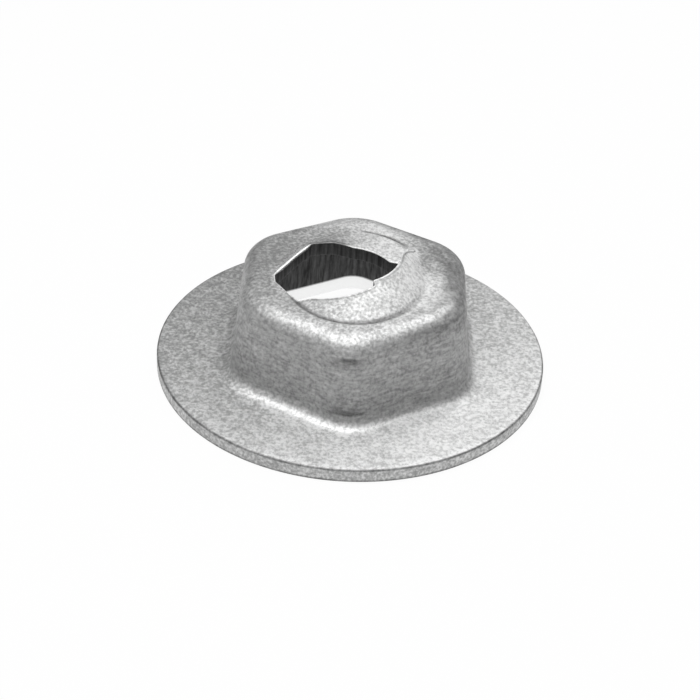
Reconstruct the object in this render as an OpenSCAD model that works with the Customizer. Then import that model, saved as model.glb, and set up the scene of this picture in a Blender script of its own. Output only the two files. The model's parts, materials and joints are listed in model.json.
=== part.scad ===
// Thread cutting nut, pressed as one piece from spring steel sheet: a hollow hexagon on a round
// washer flange. The crown is pierced, and the lip of the hole is formed into one turn of a
// right-hand helix, which cuts its own thread as the nut is driven onto a plain stud.
// The origin is the centre of the seat, and +Z runs up the stud. All sizes are in millimetres.

/* [Sheet] */
// Thickness of the sheet
sheet_t = 0.575; // [0.4:0.005:0.75]
// Inside radius of the bend between the flange and the walls
root_bend_r = 0.5; // [0.2:0.05:0.8]
// Inside radius of the bend between the walls and the crown
crown_bend_r = 0.18; // [0.05:0.01:0.4]

/* [Flange] */
// Diameter of the round washer flange
flange_d = 15.875; // [14:0.005:22]
// Width of the broken edge round the rim
rim_break = 0.05; // [0.02:0.01:0.12]

/* [Hexagon] */
// Width across the flats at the foot of the walls
hex_af = 9.525; // [9.05:0.005:11]
// Lean of the walls from upright, in degrees
draft = 5.6; // [0:0.1:9]
// Rounding of the six corners at the foot of the walls
corner_foot_r = 1.5; // [0.9:0.1:2.4]
// Rounding of the six corners at the top of the walls
corner_crown_r = 2.2; // [1.2:0.1:2.8]
// Height of the crown above the seat
crown_z = 4.25; // [3:0.05:6]

/* [Thread lip] */
// Diameter of the hole that the lip leaves for the stud
hole_d = 3.6; // [3.2:0.05:4.2]
// Width of the oval crease where the lip leaves the flat of the crown, along X
crease_w = 5.72; // [5.5:0.02:6.5]
// Length of that crease, along Y
crease_l = 6.86; // [6:0.02:7]
// How far the crease lies off the axis, towards -Y
crease_shift = 0.1; // [0:0.02:0.2]
// Climb of the lip's edge in one turn
pitch = 1.27; // [0.6:0.01:1.6]
// Height of the lip's low end over the crown, negative where it dips below
low_end = -0.2; // [-0.4:0.005:0.1]
// Depth of the groove that the forming punch leaves along the front of the crease
groove_depth = 0.06; // [0.02:0.01:0.12]
// Half the width of that groove
groove_half = 0.12; // [0.08:0.01:0.2]
// Direction in which the groove is deepest, in degrees from +X
groove_turn = 265; // [250:1:280]

/* [Slit] */
// Width of the slit that parts the lip's high end from its low end
slit_w = 0.25; // [0.2:0.01:0.4]
// How far the high end's cut face lies inside the hole's edge
slit_inset = 0.07; // [0.02:0.01:0.2]
// Direction that the slit's long side faces, in degrees from +X
slit_facing = -17; // [-40:1:10]
// How far along the slit the low end's trimmed tip starts
tip_reach = 1.56; // [1.2:0.02:1.8]
// Direction where the trimmed tip meets the hole, in degrees from +X
tip_turn = 40; // [32:1:50]

/* [Notch] */
// Direction where the back jaw's edge leaves the hole, in degrees from +X
jaw_end_turn = 93; // [85:1:105]
// Reach of the notch from the axis beside the back jaw
notch_jaw_r = 2.23; // [2.1:0.01:2.4]
// Direction of that point
notch_jaw_turn = 114; // [110:1:120]
// Reach of the notch's back corner
notch_back_r = 2.62; // [2.4:0.02:2.9]
// Direction of the back corner
notch_back_turn = 133; // [126:1:142]
// Reach of the end of the notch's straight side
notch_side_r = 3.18; // [2.9:0.02:3.3]
// Direction of the end of the straight side
notch_side_turn = 187; // [178:1:190]
// Reach of the notch's outermost corner
notch_corner_r = 3.22; // [2.9:0.02:3.3]
// Direction of the outermost corner
notch_corner_turn = 196; // [192:1:204]
// Reach of the corner where the notch turns along the front jaw
notch_front_r = 3.08; // [2.7:0.02:3.2]
// Direction of that corner
notch_front_turn = 227; // [215:1:232]
// Radius of the arc that relieves the front jaw behind its cutting corner
relief_r = 2.5; // [2.36:0.02:2.6]
// How far the relief's centre lies off the axis
relief_shift = 0.76; // [0.6:0.02:0.9]
// Direction of the relief's centre
relief_turn = 172; // [164:1:180]
// Direction of the front jaw's cutting corner, where the relief ends
corner_turn = 294; // [285:1:300]

/* [Hidden] */
$fn = 96;

// Steps round the nut, round each bend, across the lip and along the relief
columns = 96;
root_steps = 5;
crown_steps = 5;
lip_steps = 4;
relief_steps = 8;
// How far the blank runs past the trimmed rim, and the notch and trimmed tip into the hole
trim = 0.4;
notch_overlap = 0.06;
// Places across the lip, from 0 at the hole to 1 at the crease: how near the hole its rings come, where
// the blank ends inside the hole, and the mark of a ring outside the lip
ring_gap = 0.07;
blank_end = -0.3;
past_lip = 2;

flange_r = flange_d / 2;
hole_r = hole_d / 2;
crease_half_w = crease_w / 2;
crease_half_l = crease_l / 2;
// The bends of both faces of the sheet share a centre, seen in a section across the flats
root_centre = hex_af / 2 + root_bend_r * cos(draft);
root_centre_z = sheet_t + root_bend_r;
crown_outer_r = crown_bend_r + sheet_t;
crown_centre_z = crown_z - crown_outer_r;
wall_foot_z = root_centre_z - root_bend_r * sin(draft);
wall_top_z = crown_centre_z + crown_outer_r * sin(draft);
wall_top_half = hex_af / 2 - (wall_top_z - wall_foot_z) * tan(draft);
crown_centre = wall_top_half - crown_outer_r * cos(draft);
// The slit's cut face on the high end, the slit's middle, and its blind end on the crease
slit_reach = hole_r - slit_inset;
slit_middle = slit_reach - slit_w / 2;
slit_end_r = crease_reach(slit_facing + acos(slit_reach / crease_half_w));
slit_length = sqrt(pow(slit_end_r, 2) - pow(slit_reach, 2));
// The groove's half width as a share of the lip's width at the slit
groove_share = groove_half / (slit_end_r - hole_r);
top_z = crown_z + low_end + pitch;
// Height that clears the blank where it overruns the lip
clear_z = top_z + pitch;

function polar(reach, turn) = [reach * cos(turn), reach * sin(turn)];

// Distance from the axis to a hexagon with rounded corners, its corners at 30, 90 and so on
function hexagon_reach(half, corner, turn) =
    let (
        off = abs((turn % 60) - 30),
        centre = (half - corner) / cos(30),
        meet = atan2(corner * sin(30), centre + corner * cos(30))
    )
    off <= meet
        ? centre * cos(off) + sqrt(pow(corner, 2) - pow(centre * sin(off), 2))
        : half / cos(30 - off);

// Distance from the axis to the oval crease: the far root of its equation along a direction
function crease_reach(turn) =
    let (
        square = pow(cos(turn) / crease_half_w, 2) + pow(sin(turn) / crease_half_l, 2),
        half_linear = crease_shift * sin(turn) / pow(crease_half_l, 2),
        constant = pow(crease_shift / crease_half_l, 2) - 1
    )
    (sqrt(pow(half_linear, 2) - square * constant) - half_linear) / square;

// Direction of the slit's middle at a distance from the axis
function slit_turn(reach) = 360 + slit_facing + acos(min(1, slit_middle / reach));

// Height of the lip's edge over the crown, climbing with the turn from the slit
function climb(turn) = low_end + pitch * (turn - slit_turn(hole_r)) / 360;

// Depth of the groove along the crease, fading out on the side away from the front
function groove(turn) = groove_depth * max(0, cos(turn - groove_turn));

// Distance from the axis to the relief's arc
function relief_reach(turn) =
    let (off = relief_shift * cos(turn - relief_turn))
    off + sqrt(pow(relief_r, 2) - pow(relief_shift, 2) + pow(off, 2));

// A ring of the sheet is [half width, corner rounding, height, place across the lip, share of the groove].
// A ring past the lip is a hexagon, or a circle where it has no corner rounding. A ring of the lip has
// neither, and takes its form from the hole and the crease.
function root_ring(depth, lean) =
    let (
        bend = root_bend_r + depth,
        half = root_centre - bend * sin(lean)
    )
    [half, corner_foot_r + half - hex_af / 2, root_centre_z - bend * cos(lean), past_lip, 0];

function crown_ring(depth, lean) =
    let (
        bend = crown_outer_r - depth,
        half = crown_centre + bend * cos(lean)
    )
    [half, corner_crown_r + half - wall_top_half, crown_centre_z + bend * sin(lean), past_lip, 0];

function lip_ring(depth, place, sunk = 0) = [0, 0, crown_z - depth, place, sunk];

// One face of the sheet, from the rim inwards: the outer face at no depth, the inner at full depth
function sheet_face(depth) = concat(
    [[flange_r + trim, 0, sheet_t - depth, past_lip, 0]],
    [for (k = [0:root_steps]) root_ring(depth, (90 - draft) * k / root_steps)],
    [for (k = [0:crown_steps]) crown_ring(depth, draft + (90 - draft) * k / crown_steps)],
    [lip_ring(depth, 1 + groove_share)],
    [lip_ring(depth, 1, 1)],
    [
        for (k = [0:lip_steps])
            let (start = 1 - groove_share)
            lip_ring(depth, start + (ring_gap - start) * k / lip_steps)
    ],
    [lip_ring(depth, -ring_gap)],
    [lip_ring(depth, blank_end)]
);

function backwards(list) = [for (i = [len(list) - 1:-1:0]) list[i]];

function ring_points(ring) = [
    for (column = [0:columns - 1])
        let (
            place = min(1, ring[3]),
            turn = slit_turn(hole_r + place * (slit_end_r - hole_r)) + 360 * (column + 0.5) / columns,
            round_reach = ring[3] < past_lip ? hole_r + ring[3] * (crease_reach(turn) - hole_r) : ring[0],
            reach = ring[1] > 0 ? hexagon_reach(ring[0], ring[1], turn) : round_reach
        )
        concat(polar(reach, turn), ring[2] + (1 - place) * climb(turn) - ring[4] * groove(turn))
];

// The pressed sheet before it is pierced and trimmed, with both faces as one closed skin.
// Each cell is split along its shorter diagonal, which is the other one on the inner face.
module formed_sheet() {
    rings = concat(sheet_face(0), backwards(sheet_face(sheet_t)));
    count = len(rings);
    points = [for (ring = rings) each ring_points(ring)];
    faces = [
        for (i = [0:count - 1])
            for (j = [0:columns - 1])
                let (
                    next_ring = (i + 1) % count,
                    next_column = (j + 1) % columns,
                    a = i * columns + j,
                    b = i * columns + next_column,
                    c = next_ring * columns + next_column,
                    d = next_ring * columns + j
                )
                each i < count / 2 ? [[a, d, c], [a, c, b]] : [[a, d, b], [b, d, c]]
    ];
    polyhedron(points, faces, convexity = 8);
}

// Everything inside the sheared rim, whose two edges are broken
module rim_trim() {
    rotate_extrude()
        polygon([
            [0, -trim],
            [flange_r - rim_break - trim, -trim],
            [flange_r, rim_break],
            [flange_r, sheet_t - rim_break],
            [flange_r - 2 * rim_break, sheet_t + rim_break],
            [flange_r - 2 * rim_break, clear_z],
            [0, clear_z]
        ]);
}

// Carries a cut from inside the hollow up through the crown
module through_crown() {
    translate([0, 0, wall_foot_z])
        linear_extrude(clear_z - wall_foot_z)
            children();
}

module stud_hole() {
    through_crown()
        circle(d = hole_d);
}

module slit() {
    through_crown()
        rotate(slit_facing)
            translate([slit_reach - slit_w, 0])
                square([slit_w, slit_length]);
}

// The low end's sharp tip, cut off between the slit and the hole
module tip_trim() {
    through_crown()
        polygon([
            [0, 0],
            polar(slit_middle, slit_facing),
            polar(slit_middle, slit_facing) + polar(tip_reach, slit_facing + 90),
            polar(hole_r - notch_overlap, tip_turn)
        ]);
}

// The open side of the crown, from the back jaw's end round to the front jaw's cutting corner
module notch() {
    relief = [
        for (k = [1:relief_steps])
            let (turn = notch_front_turn + (corner_turn - notch_front_turn) * k / relief_steps)
            polar(relief_reach(turn), turn)
    ];
    through_crown()
        polygon(concat(
            [
                [0, 0],
                polar(hole_r - notch_overlap, jaw_end_turn),
                polar(notch_jaw_r, notch_jaw_turn),
                polar(notch_back_r, notch_back_turn),
                polar(notch_side_r, notch_side_turn),
                polar(notch_corner_r, notch_corner_turn),
                polar(notch_front_r, notch_front_turn)
            ],
            relief
        ));
}

// The pierced opening: the hole, the slit, the trimmed tip and the notch as one cut
module opening() {
    union() {
        stud_hole();
        slit();
        tip_trim();
        notch();
    }
}

module thread_cutting_nut() {
    color("#b4b5b3")
        difference() {
            intersection() {
                formed_sheet();
                rim_trim();
            }
            opening();
        }
}

thread_cutting_nut();
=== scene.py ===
"""Thread cutting nut in dull zinc plate, standing on a white studio floor.

The nut is one closed skin on a grid. Its columns follow the edge of the opening in the crown, and its
stations follow the section of the sheet: up over the lip, across the crown, down the wall, out along the
flange, round the rim and back along the inside. Lengths are metres and angles are radians.
"""

import json
import math

import bpy
import numpy as np
from mathutils import Matrix, Vector


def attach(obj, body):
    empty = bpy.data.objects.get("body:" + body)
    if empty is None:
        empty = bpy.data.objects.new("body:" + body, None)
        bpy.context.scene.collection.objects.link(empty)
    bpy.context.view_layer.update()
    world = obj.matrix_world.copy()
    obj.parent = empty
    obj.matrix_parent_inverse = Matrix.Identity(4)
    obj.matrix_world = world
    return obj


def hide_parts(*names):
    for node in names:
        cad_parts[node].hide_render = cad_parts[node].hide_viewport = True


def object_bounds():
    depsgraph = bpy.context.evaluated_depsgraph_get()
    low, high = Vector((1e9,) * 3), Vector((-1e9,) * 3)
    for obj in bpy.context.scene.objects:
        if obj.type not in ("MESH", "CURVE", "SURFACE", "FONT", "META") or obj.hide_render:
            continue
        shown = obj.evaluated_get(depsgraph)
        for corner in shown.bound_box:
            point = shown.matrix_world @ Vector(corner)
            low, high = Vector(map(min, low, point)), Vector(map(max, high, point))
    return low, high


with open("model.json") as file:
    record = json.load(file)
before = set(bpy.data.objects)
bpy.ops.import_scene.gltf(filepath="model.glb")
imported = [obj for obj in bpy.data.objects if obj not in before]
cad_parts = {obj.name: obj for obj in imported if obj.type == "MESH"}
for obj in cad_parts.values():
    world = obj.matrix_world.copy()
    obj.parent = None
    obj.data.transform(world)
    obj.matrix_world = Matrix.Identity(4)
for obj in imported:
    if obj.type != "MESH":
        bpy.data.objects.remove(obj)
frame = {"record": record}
CAD_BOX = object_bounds()

bl_info = {
    "name": "Thread cutting nut",
    "version": (1, 0, 0),
    "blender": (4, 5, 0),
    "location": "View3D > Sidebar > Nut",
    "description": "Makes a pressed thread cutting nut in dull zinc plate and a white studio round it",
    "category": "Add Mesh",
}

NODE = "thread_cutting_nut"
MM = 0.001
TURN = 2 * math.pi

# Columns round the nut and points along each run of the opening's edge
COLUMNS = 470
RUN_POINTS = 96
# How much the turn round the axis counts beside the length of the edge when columns are shared out
TURN_WEIGHT = 3.0 * MM
# Averaging passes that soften the edge's corners, and that spread the columns on their way out
CORNER_PASSES = 2
FAN_PASSES = 60
# Stations along each stretch of the section
EDGE_STEPS = 4
LIP_STEPS = 34
FLAT_STEPS = 5
BEND_STEPS = 10
WALL_STEPS = 24
FLANGE_STEPS = 10
# Rings and columns of the cove round the floor
COVE_RINGS = 13
COVE_COLUMNS = 96
# Width of the camera's sensor in millimetres, and the nearest and farthest things that it sees
SENSOR_WIDTH = 36
CLIP_NEAR = 1 * MM
CLIP_FAR = 1000 * MM
# Least length that a normal is divided by
TINY = 1e-15
# Shares of each stretch at which its stations lie
ROUND_SHARE = np.linspace(0, 1, EDGE_STEPS + 1)[:, None]
LIP_SHARE = np.linspace(0, 1, LIP_STEPS + 1)[1:, None]
FLAT_SHARE = np.linspace(0, 1, FLAT_STEPS + 1)[1:-1, None]
BEND_SHARE = np.linspace(0, 1, BEND_STEPS + 1)[:, None]
WALL_SHARE = np.linspace(0, 1, WALL_STEPS + 1)[1:-1, None]
FLANGE_SHARE = np.linspace(0, 1, FLANGE_STEPS + 1)[1:-1, None]
RIM_SHARE = np.linspace(0.2, 0.8, 3)[:, None]
# The lean of the sheet at each station of a rounding
ROUND_OVER = TURN / 4 * ROUND_SHARE
# What each station carries into the mesh: how much of the hollow's painted dark it takes, how much painted
# shade, how dull it is (mostly painted shade on the sides, with the rim's duller plate) and how much
# painted highlight
LOOKS = ("hollow", "drawn", "dull", "rubbed")
# What each station carries for the form alone: how much of the sheet's waves it takes
WAVES = "waves"
LIP_WAVES = 0.6
# Ends of the notch's straight side over which its rolled edge narrows, as a share of the side
ROLL_END = 1 / 6
# Direction and phase of each wave that pressing leaves, in radians a millimetre and radians
WAVE_DIRECTIONS = (
    (1.3, 0.7, 1.9),
    (-0.9, 1.6, 0.8),
    (2.1, -1.2, -1.1),
    (0.5, 2.4, -1.7),
    (-1.8, -0.6, 2.6),
    (3.1, 1.9, 0.4),
)
WAVE_PHASES = (0.3, 1.9, 4.1, 2.6, 5.2, 0.9)
# Noise in the plate: its roughness, its coarse and fine detail, and the part of its range that counts
NOISE_ROUGHNESS = 0.6
COARSE_DETAIL = 3.0
FINE_DETAIL = 2.0
NOISE_RANGE = (0.3, 0.7)
SPECK_NOISE_RANGE = (0.36, 0.64)
# What patches and specks add to the dullness, and the dullness over which the plate turns dark
PATCH_RANGE = (-0.1, 0.25)
SPECK_RANGE = (-0.28, 0.4)
DULL_RANGE = (-0.4, 1.4)
UNIT_RANGE = (0.0, 1.0)
# How streaks vary the painted shade, and how drips vary the hollow's painted dark colour
STREAK_RANGE = (-0.35, 0.35)
DRIP_RANGE = (0.5, 1.8)
# Squeeze of the noise up the wall that makes streaks lie along it, and stretch that makes drips run down it
STREAK_SQUEEZE = (1.0, 1.0, 4.0)
DRIP_STRETCH = (1.0, 1.0, 0.1)

stud_hole = next(mount for mount in frame["record"]["mounts"] if mount["name"] == "stud_hole")


def length(name, description, millimetres):
    """A length property, given in millimetres and kept in metres."""
    return bpy.props.FloatProperty(
        name=name, description=description, default=millimetres * MM, unit="LENGTH", precision=6
    )


def angle(name, description, degrees):
    """An angle property, given in degrees and kept in radians."""
    return bpy.props.FloatProperty(
        name=name, description=description, default=math.radians(degrees), subtype="ANGLE"
    )


def share(name, description, default):
    """A plain number property from nought upwards."""
    return bpy.props.FloatProperty(name=name, description=description, default=default, min=0)


def colour(name, description, default):
    """A linear colour property."""
    return bpy.props.FloatVectorProperty(
        name=name, description=description, default=default, subtype="COLOR", size=3, min=0, max=1
    )


class NutSizes(bpy.types.PropertyGroup):
    """Sizes of the pressed sheet, its hexagon and the opening in its crown."""

    sheet_t: length("Sheet", "Thickness of the sheet", 0.575)
    flange_r: length("Flange radius", "Radius of the round flange", CAD_BOX[1].y / MM)
    rim_top_r: length("Rim rollover", "Rounding of the rim's upper edge", 0.09)
    rim_foot_r: length("Rim foot", "Rounding of the rim's lower edge", 0.05)
    hex_half: length("Hexagon half width", "Half the width across flats at the wall's foot", 4.7625)
    draft: angle("Draft", "Lean of the walls from upright", 5.6)
    corner_foot_r: length("Foot corners", "Rounding of the corners at the wall's foot", 1.5)
    corner_crown_r: length("Crown corners", "Rounding of the corners at the wall's top", 2.2)
    root_bend_r: length("Root bend", "Radius of the bend from the flange to the wall", 0.5)
    crown_bend_r: length("Crown bend", "Inside radius of the bend from the wall to the crown", 0.18)
    crown_z: length("Crown height", "Height of the crown over the seat", 4.25)
    hole_r: length("Hole radius", "Radius of the hole for the stud", stud_hole["dims"]["r_mm"])
    crease_half_w: length("Crease half width", "Half the width of the oval crease round the lip", 2.86)
    crease_half_l: length("Crease half length", "Half the length of the oval crease round the lip", 3.43)
    crease_shift: length("Crease shift", "How far the crease lies off the axis towards the front", 0.1)
    pitch: length("Pitch", "Climb of the lip's edge in one turn", 1.27)
    low_end: length("Low end", "Height of the lip's low end over the crown", -0.2)
    groove_depth: length("Groove depth", "Depth of the groove along the front of the crease", 0.06)
    groove_half: length("Groove half width", "Half the width of that groove", 0.12)
    groove_turn: angle("Groove turn", "Direction in which the groove is deepest", 265)
    mark_turn: angle("Mark turn", "Direction of the tool mark along the back of the crease", 67)
    mark_half: angle("Mark half", "Half the turn that the tool mark takes", 19)
    bend_soft: length("Crease rounding", "Rounding of the crease where there is no groove", 0.15)
    slit_w: length("Slit width", "Width of the slit between the lip's ends", 0.25)
    slit_inset: length("Slit inset", "How far the high end's face lies inside the hole's edge", 0.07)
    slit_facing: angle("Slit facing", "Direction that the slit's long side faces", -17)
    tip_reach: length("Tip reach", "How far along the slit the low end's trimmed tip starts", 1.54)
    tip_turn: angle("Tip turn", "Direction where the trimmed tip meets the hole", 40)
    jaw_end_turn: angle("Jaw end", "Direction where the back jaw's edge leaves the hole", 93)
    notch_jaw_r: length("Notch at jaw", "Reach of the notch beside the back jaw", 2.23)
    notch_jaw_turn: angle("Notch at jaw turn", "Direction of the notch beside the back jaw", 114)
    notch_back_r: length("Notch back", "Reach of the notch's back corner", 2.62)
    notch_back_turn: angle("Notch back turn", "Direction of the notch's back corner", 133)
    notch_side_r: length("Notch side", "Reach of the end of the notch's straight side", 3.18)
    notch_side_turn: angle("Notch side turn", "Direction of the end of the straight side", 187)
    notch_corner_r: length("Notch corner", "Reach of the notch's outermost corner", 3.22)
    notch_corner_turn: angle("Notch corner turn", "Direction of the outermost corner", 196)
    notch_front_r: length("Notch front", "Reach of the notch's corner at the front jaw", 3.08)
    notch_front_turn: angle("Notch front turn", "Direction of the corner at the front jaw", 227)
    relief_r: length("Relief radius", "Radius of the arc that relieves the front jaw", 2.5)
    relief_shift: length("Relief shift", "How far the relief's centre lies off the axis", 0.76)
    relief_turn: angle("Relief turn", "Direction of the relief's centre", 172)
    relief_start: angle("Relief start", "Direction where the notch's front edge joins the relief", 235.4)
    corner_turn: angle("Cutting corner", "Direction of the front jaw's cutting corner", 294)
    blind_fan: angle("Slit end fan", "Direction outside the crease past the slit's blind end", 48.5)
    tip_fan: angle("Tip fan", "Direction outside the crease that the trimmed tip's corner runs to", 56)
    jaw_fan: angle("Jaw fan", "Direction outside the crease that the trimmed tip's end runs to", 62)
    notch_clear: length("Notch clearance", "Flat left between the notch and the first round ring", 0.2)
    edge_r: length("Cut edge", "Rounding of the opening's cut edges", 0.05)
    notch_edge_r: length("Notch edge", "Rounding of the edge along the notch's straight side", 0.14)
    # Painted highlight: a bright band painted inside the mouth, over the wall's foot
    mouth_h: length("Mouth", "Height of the bright band inside the mouth over the wall's foot", 0.1)
    wave: length("Waviness", "Height of the faint waves that pressing leaves in the sheet", 0.006)


class ZincFinish(bpy.types.PropertyGroup):
    """Colours and grain of the zinc plate, with the colours of its painted highlights and painted shade."""

    light: colour("Zinc", "Colour of clean zinc plate", (0.94, 0.942, 0.94))
    dark: colour("Dull zinc", "Colour of duller grains and patches", (0.34, 0.342, 0.34))
    # Painted shade: the share of the plate's colour left where the painted shade is darkest
    drawn: share("Drawn plate", "Share of the colour left where the draw has darkened the plate most", 0.3)
    # Painted highlight: the colour painted where highlights stand on bends and edges
    rubbed: colour("Rubbed zinc", "Colour of plate that the tools have rubbed bright", (0.95, 0.952, 0.95))
    # Painted shade: the near-black of the hollow and the cut faces stands in for their shade, over somewhat
    # darker plate inside
    hollow: colour("Hollow", "Colour of the thin, oily plate inside the hollow", (0.07, 0.07, 0.07))
    roughness: share("Roughness", "Roughness of the plate", 0.66)
    # Roughness where the highlights are painted
    highlight_roughness: share("Rubbed roughness", "Roughness where the tools have rubbed the plate", 0.42)
    # How much the dull look, mostly painted shade on the sides, adds to the grains' dullness
    dull_and_shade_weight: share("Dull weight", "How much the dull sides add to the grains' dullness", 0.9)
    # How strongly the painted highlight brightens the plate, and how much less it brightens the dullest
    # grains
    highlight_weight: share("Rub weight", "How strongly rubbing brightens the plate", 1.6)
    highlight_loss: share("Rub loss", "How much less it brightens the dullest grains", 0.6)
    grain: length("Grain", "Size of the plate's grain", 0.13)
    streak: length("Streaks", "Length of the draw's faint streaks", 0.5)
    mottle: length("Mottle", "Size of duller and brighter patches", 0.45)
    grain_depth: length("Grain depth", "Depth of the grain", 0.018)


class PaintedLightMarks(bpy.types.PropertyGroup):
    """Where shade and highlights are painted on the plate, and how far, with the rim's duller plate."""

    left_start: share("Left side", "Cosine to the right of the middle at which the left side begins", 0.5)
    # Painted shade on the walls, deepening a little towards their foot
    wall_painted_shade: share("Drawn walls", "How far the draw has darkened the walls", 0.6)
    foot_painted_shade: share("Drawn foot", "How much further the walls darken towards their foot", 0.06)
    # Painted shade on the crown's bend at the right, fading down the wall
    shoulder_painted_shade: share("Drawn shoulder", "Share of the bend's full darkening on the right", 0.7)
    shoulder_fade: share("Shoulder fade", "Share of the wall over which the bend's darkening fades", 0.12)
    # Two darker marks on the front corner, one near the wall's top and one near its foot
    corner_turn: angle("Marked corner", "Direction of the marked front corner", 270)
    corner_half: angle("Corner half", "Half the turn that the front corner's marks take", 6.875)
    corner_darkening: share("Corner marks", "How far the front corner's marks are darkened", 0.4)
    corner_top: share("Upper mark", "Share of the wall above the corner's upper mark", 0.03)
    corner_top_half: share("Upper mark half", "Half the upper mark's height as a share of the wall", 0.13)
    corner_foot: share("Lower mark", "Share of the wall above the corner's lower mark", 0.97)
    corner_foot_half: share("Lower mark half", "Half the lower mark's height as a share of the wall", 0.1)
    # Painted shade on the crown's bend: where it starts and how far it spreads
    crown_lead: share("Crown bend lead", "How far before the crown's bend its darkening starts", 0.1)
    crown_lead_right: share("Right lead", "How much earlier it starts on the right", 0.32)
    crown_delay_front: share("Front delay", "How much later it starts at the front", 0.6)
    crown_span: share("Crown bend span", "Share of the crown's bend over which it darkens", 0.4)
    # Painted shade on the crown's flat at the right
    flat_painted_shade: share("Drawn crown", "How far the crown's flat is darkened on the right", 0.6)
    # Where the walls' painted shade fades out along the root's bend
    root_start: share("Root bend start", "Share of the root's bend where the darkening starts to fade", 0.3)
    root_lead_left: share("Left root lead", "How much earlier it starts to fade on the left", 0.2)
    root_span: share("Root bend span", "Share of the root's bend over which it fades", 0.7)
    root_span_left: share("Left root span", "How much shorter that is on the left", 0.4)
    # Painted highlight on the root's bend at the front left, fading out over the flange
    root_highlight: share("Rubbed root", "How far the root's bend is rubbed bright at the front left", 0.4)
    highlight_reach: share("Rub reach", "Share of the flange over which that rub fades out", 0.367)
    highlight_fade: share("Rub fade", "Share of the flange that the fading takes", 0.333)
    # Painted shade: the flange darker towards its back left and lightest towards the front right
    flange_shade: share("Dull flange", "How dull the flange is on its dullest side", 0.85)
    flange_lit_turn: angle("Flange bright side", "Direction in which the flange is cleanest", -59)
    # The rim's duller plate, and painted shade along its rounded edges
    rim_dull: share("Dull rim", "How dull the rim is", 0.6)
    rim_painted_shade: share("Drawn rim", "How far the rim's edges are darkened", 0.8)
    # Painted shade: the crown darker on its left side and a little at its front
    crown_shade_turn: angle("Crown dull side", "Direction in which the crown is dullest", 160)
    crown_shade_power: share("Crown dull spread", "Power of the cosine with which that fades", 1.5)
    crown_shade_front: share("Dull front", "How dull the crown is at its front", 0.3)
    # Painted highlight on the crown, brightest towards the front
    crown_highlight: share("Rubbed crown", "How far the crown is rubbed bright", 0.15)
    crown_bright_turn: angle("Crown bright side", "Direction in which the crown is rubbed brightest", 250)
    crown_bright_start: share("Bright side start", "Cosine behind the sides where it starts", 0.3125)
    crown_bright_span: share("Bright side span", "Cosine over which it grows", 0.625)
    # Painted highlight along the crown's back edge, a little to the left
    back_highlight: share("Rubbed back", "How far the crown's back edge is rubbed bright", 0.9)
    back_highlight_turn: angle("Back rub", "Direction of that rub", 106)
    back_highlight_half: angle("Back rub half", "Half the turn that it takes", 17.19)
    # Painted shade beside the slit
    slit_shade: share("Dull slit", "How dull the plate beside the slit is", 0.9)
    slit_shade_turn: angle("Slit dull side", "Direction of that duller plate", 26)
    slit_shade_power: share("Slit dull spread", "Power of the cosine with which it fades", 10)
    slit_shade_start: share("Slit dull start", "Share of the lip that stays clear of it", 0.333)
    # Painted shade on the lip at the front and on its left
    lip_shade: share("Dull lip", "How dull the lip is at the front", 0.5)
    lip_shade_turn: angle("Lip dull side", "Direction in which the lip is dullest", 245)
    lip_left: share("Left lip", "Share of the crown's dull side that the lip takes on", 0.85)
    lip_power: share("Lip power", "Power with which the lip's looks pass into the crown's", 4)
    # Painted shade on the low end of the back jaw
    jaw_shade: share("Dull jaw", "How dull the low end of the back jaw is", 0.8)
    jaw_shade_turn: angle("Jaw dull side", "Direction of that duller plate", 118)
    jaw_shade_power: share("Jaw dull spread", "Power of the cosine with which it fades", 6)
    # Painted shade: a dark line along the jaws' cut edges
    jaw_line: share("Jaw line", "How dark the line along the front jaw's cut edge is", 0.6)
    edge_line: length("Edge line", "Width of the darker line along the cut edges", 0.07)
    slit_line_turn: angle("Slit line", "Turn over which that line starts at the lip's high end", 25)
    # Painted shade along the notch's back edge
    back_shade: length("Back shade", "Width over which the plate darkens to the notch's back edge", 0.14)
    back_shade_start: angle("Back shade start", "Turn over which that shade starts past the jaw", 11.46)
    back_shade_stop: angle("Back shade stop", "Turn over which it stops at the notch's straight side", 5.73)
    # Painted dark on the cut side of the edges' rounding, taken from the hollow's colour
    edge_dark: share("Dark edge", "Share of the edge's rounding that is dark along that shade", 0.6)
    edge_fade: share("Edge fade", "Share of the edge's rounding over which the hollow's dark fades", 0.5)
    # Painted highlight on the notch's rolled edge
    roll_start: share("Roll start", "Share of the edge's rounding over which the bright roll starts", 0.333)
    roll_reach: share("Roll reach", "Reach of the bright roll over the rounding of its edge", 1.6)


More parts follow.
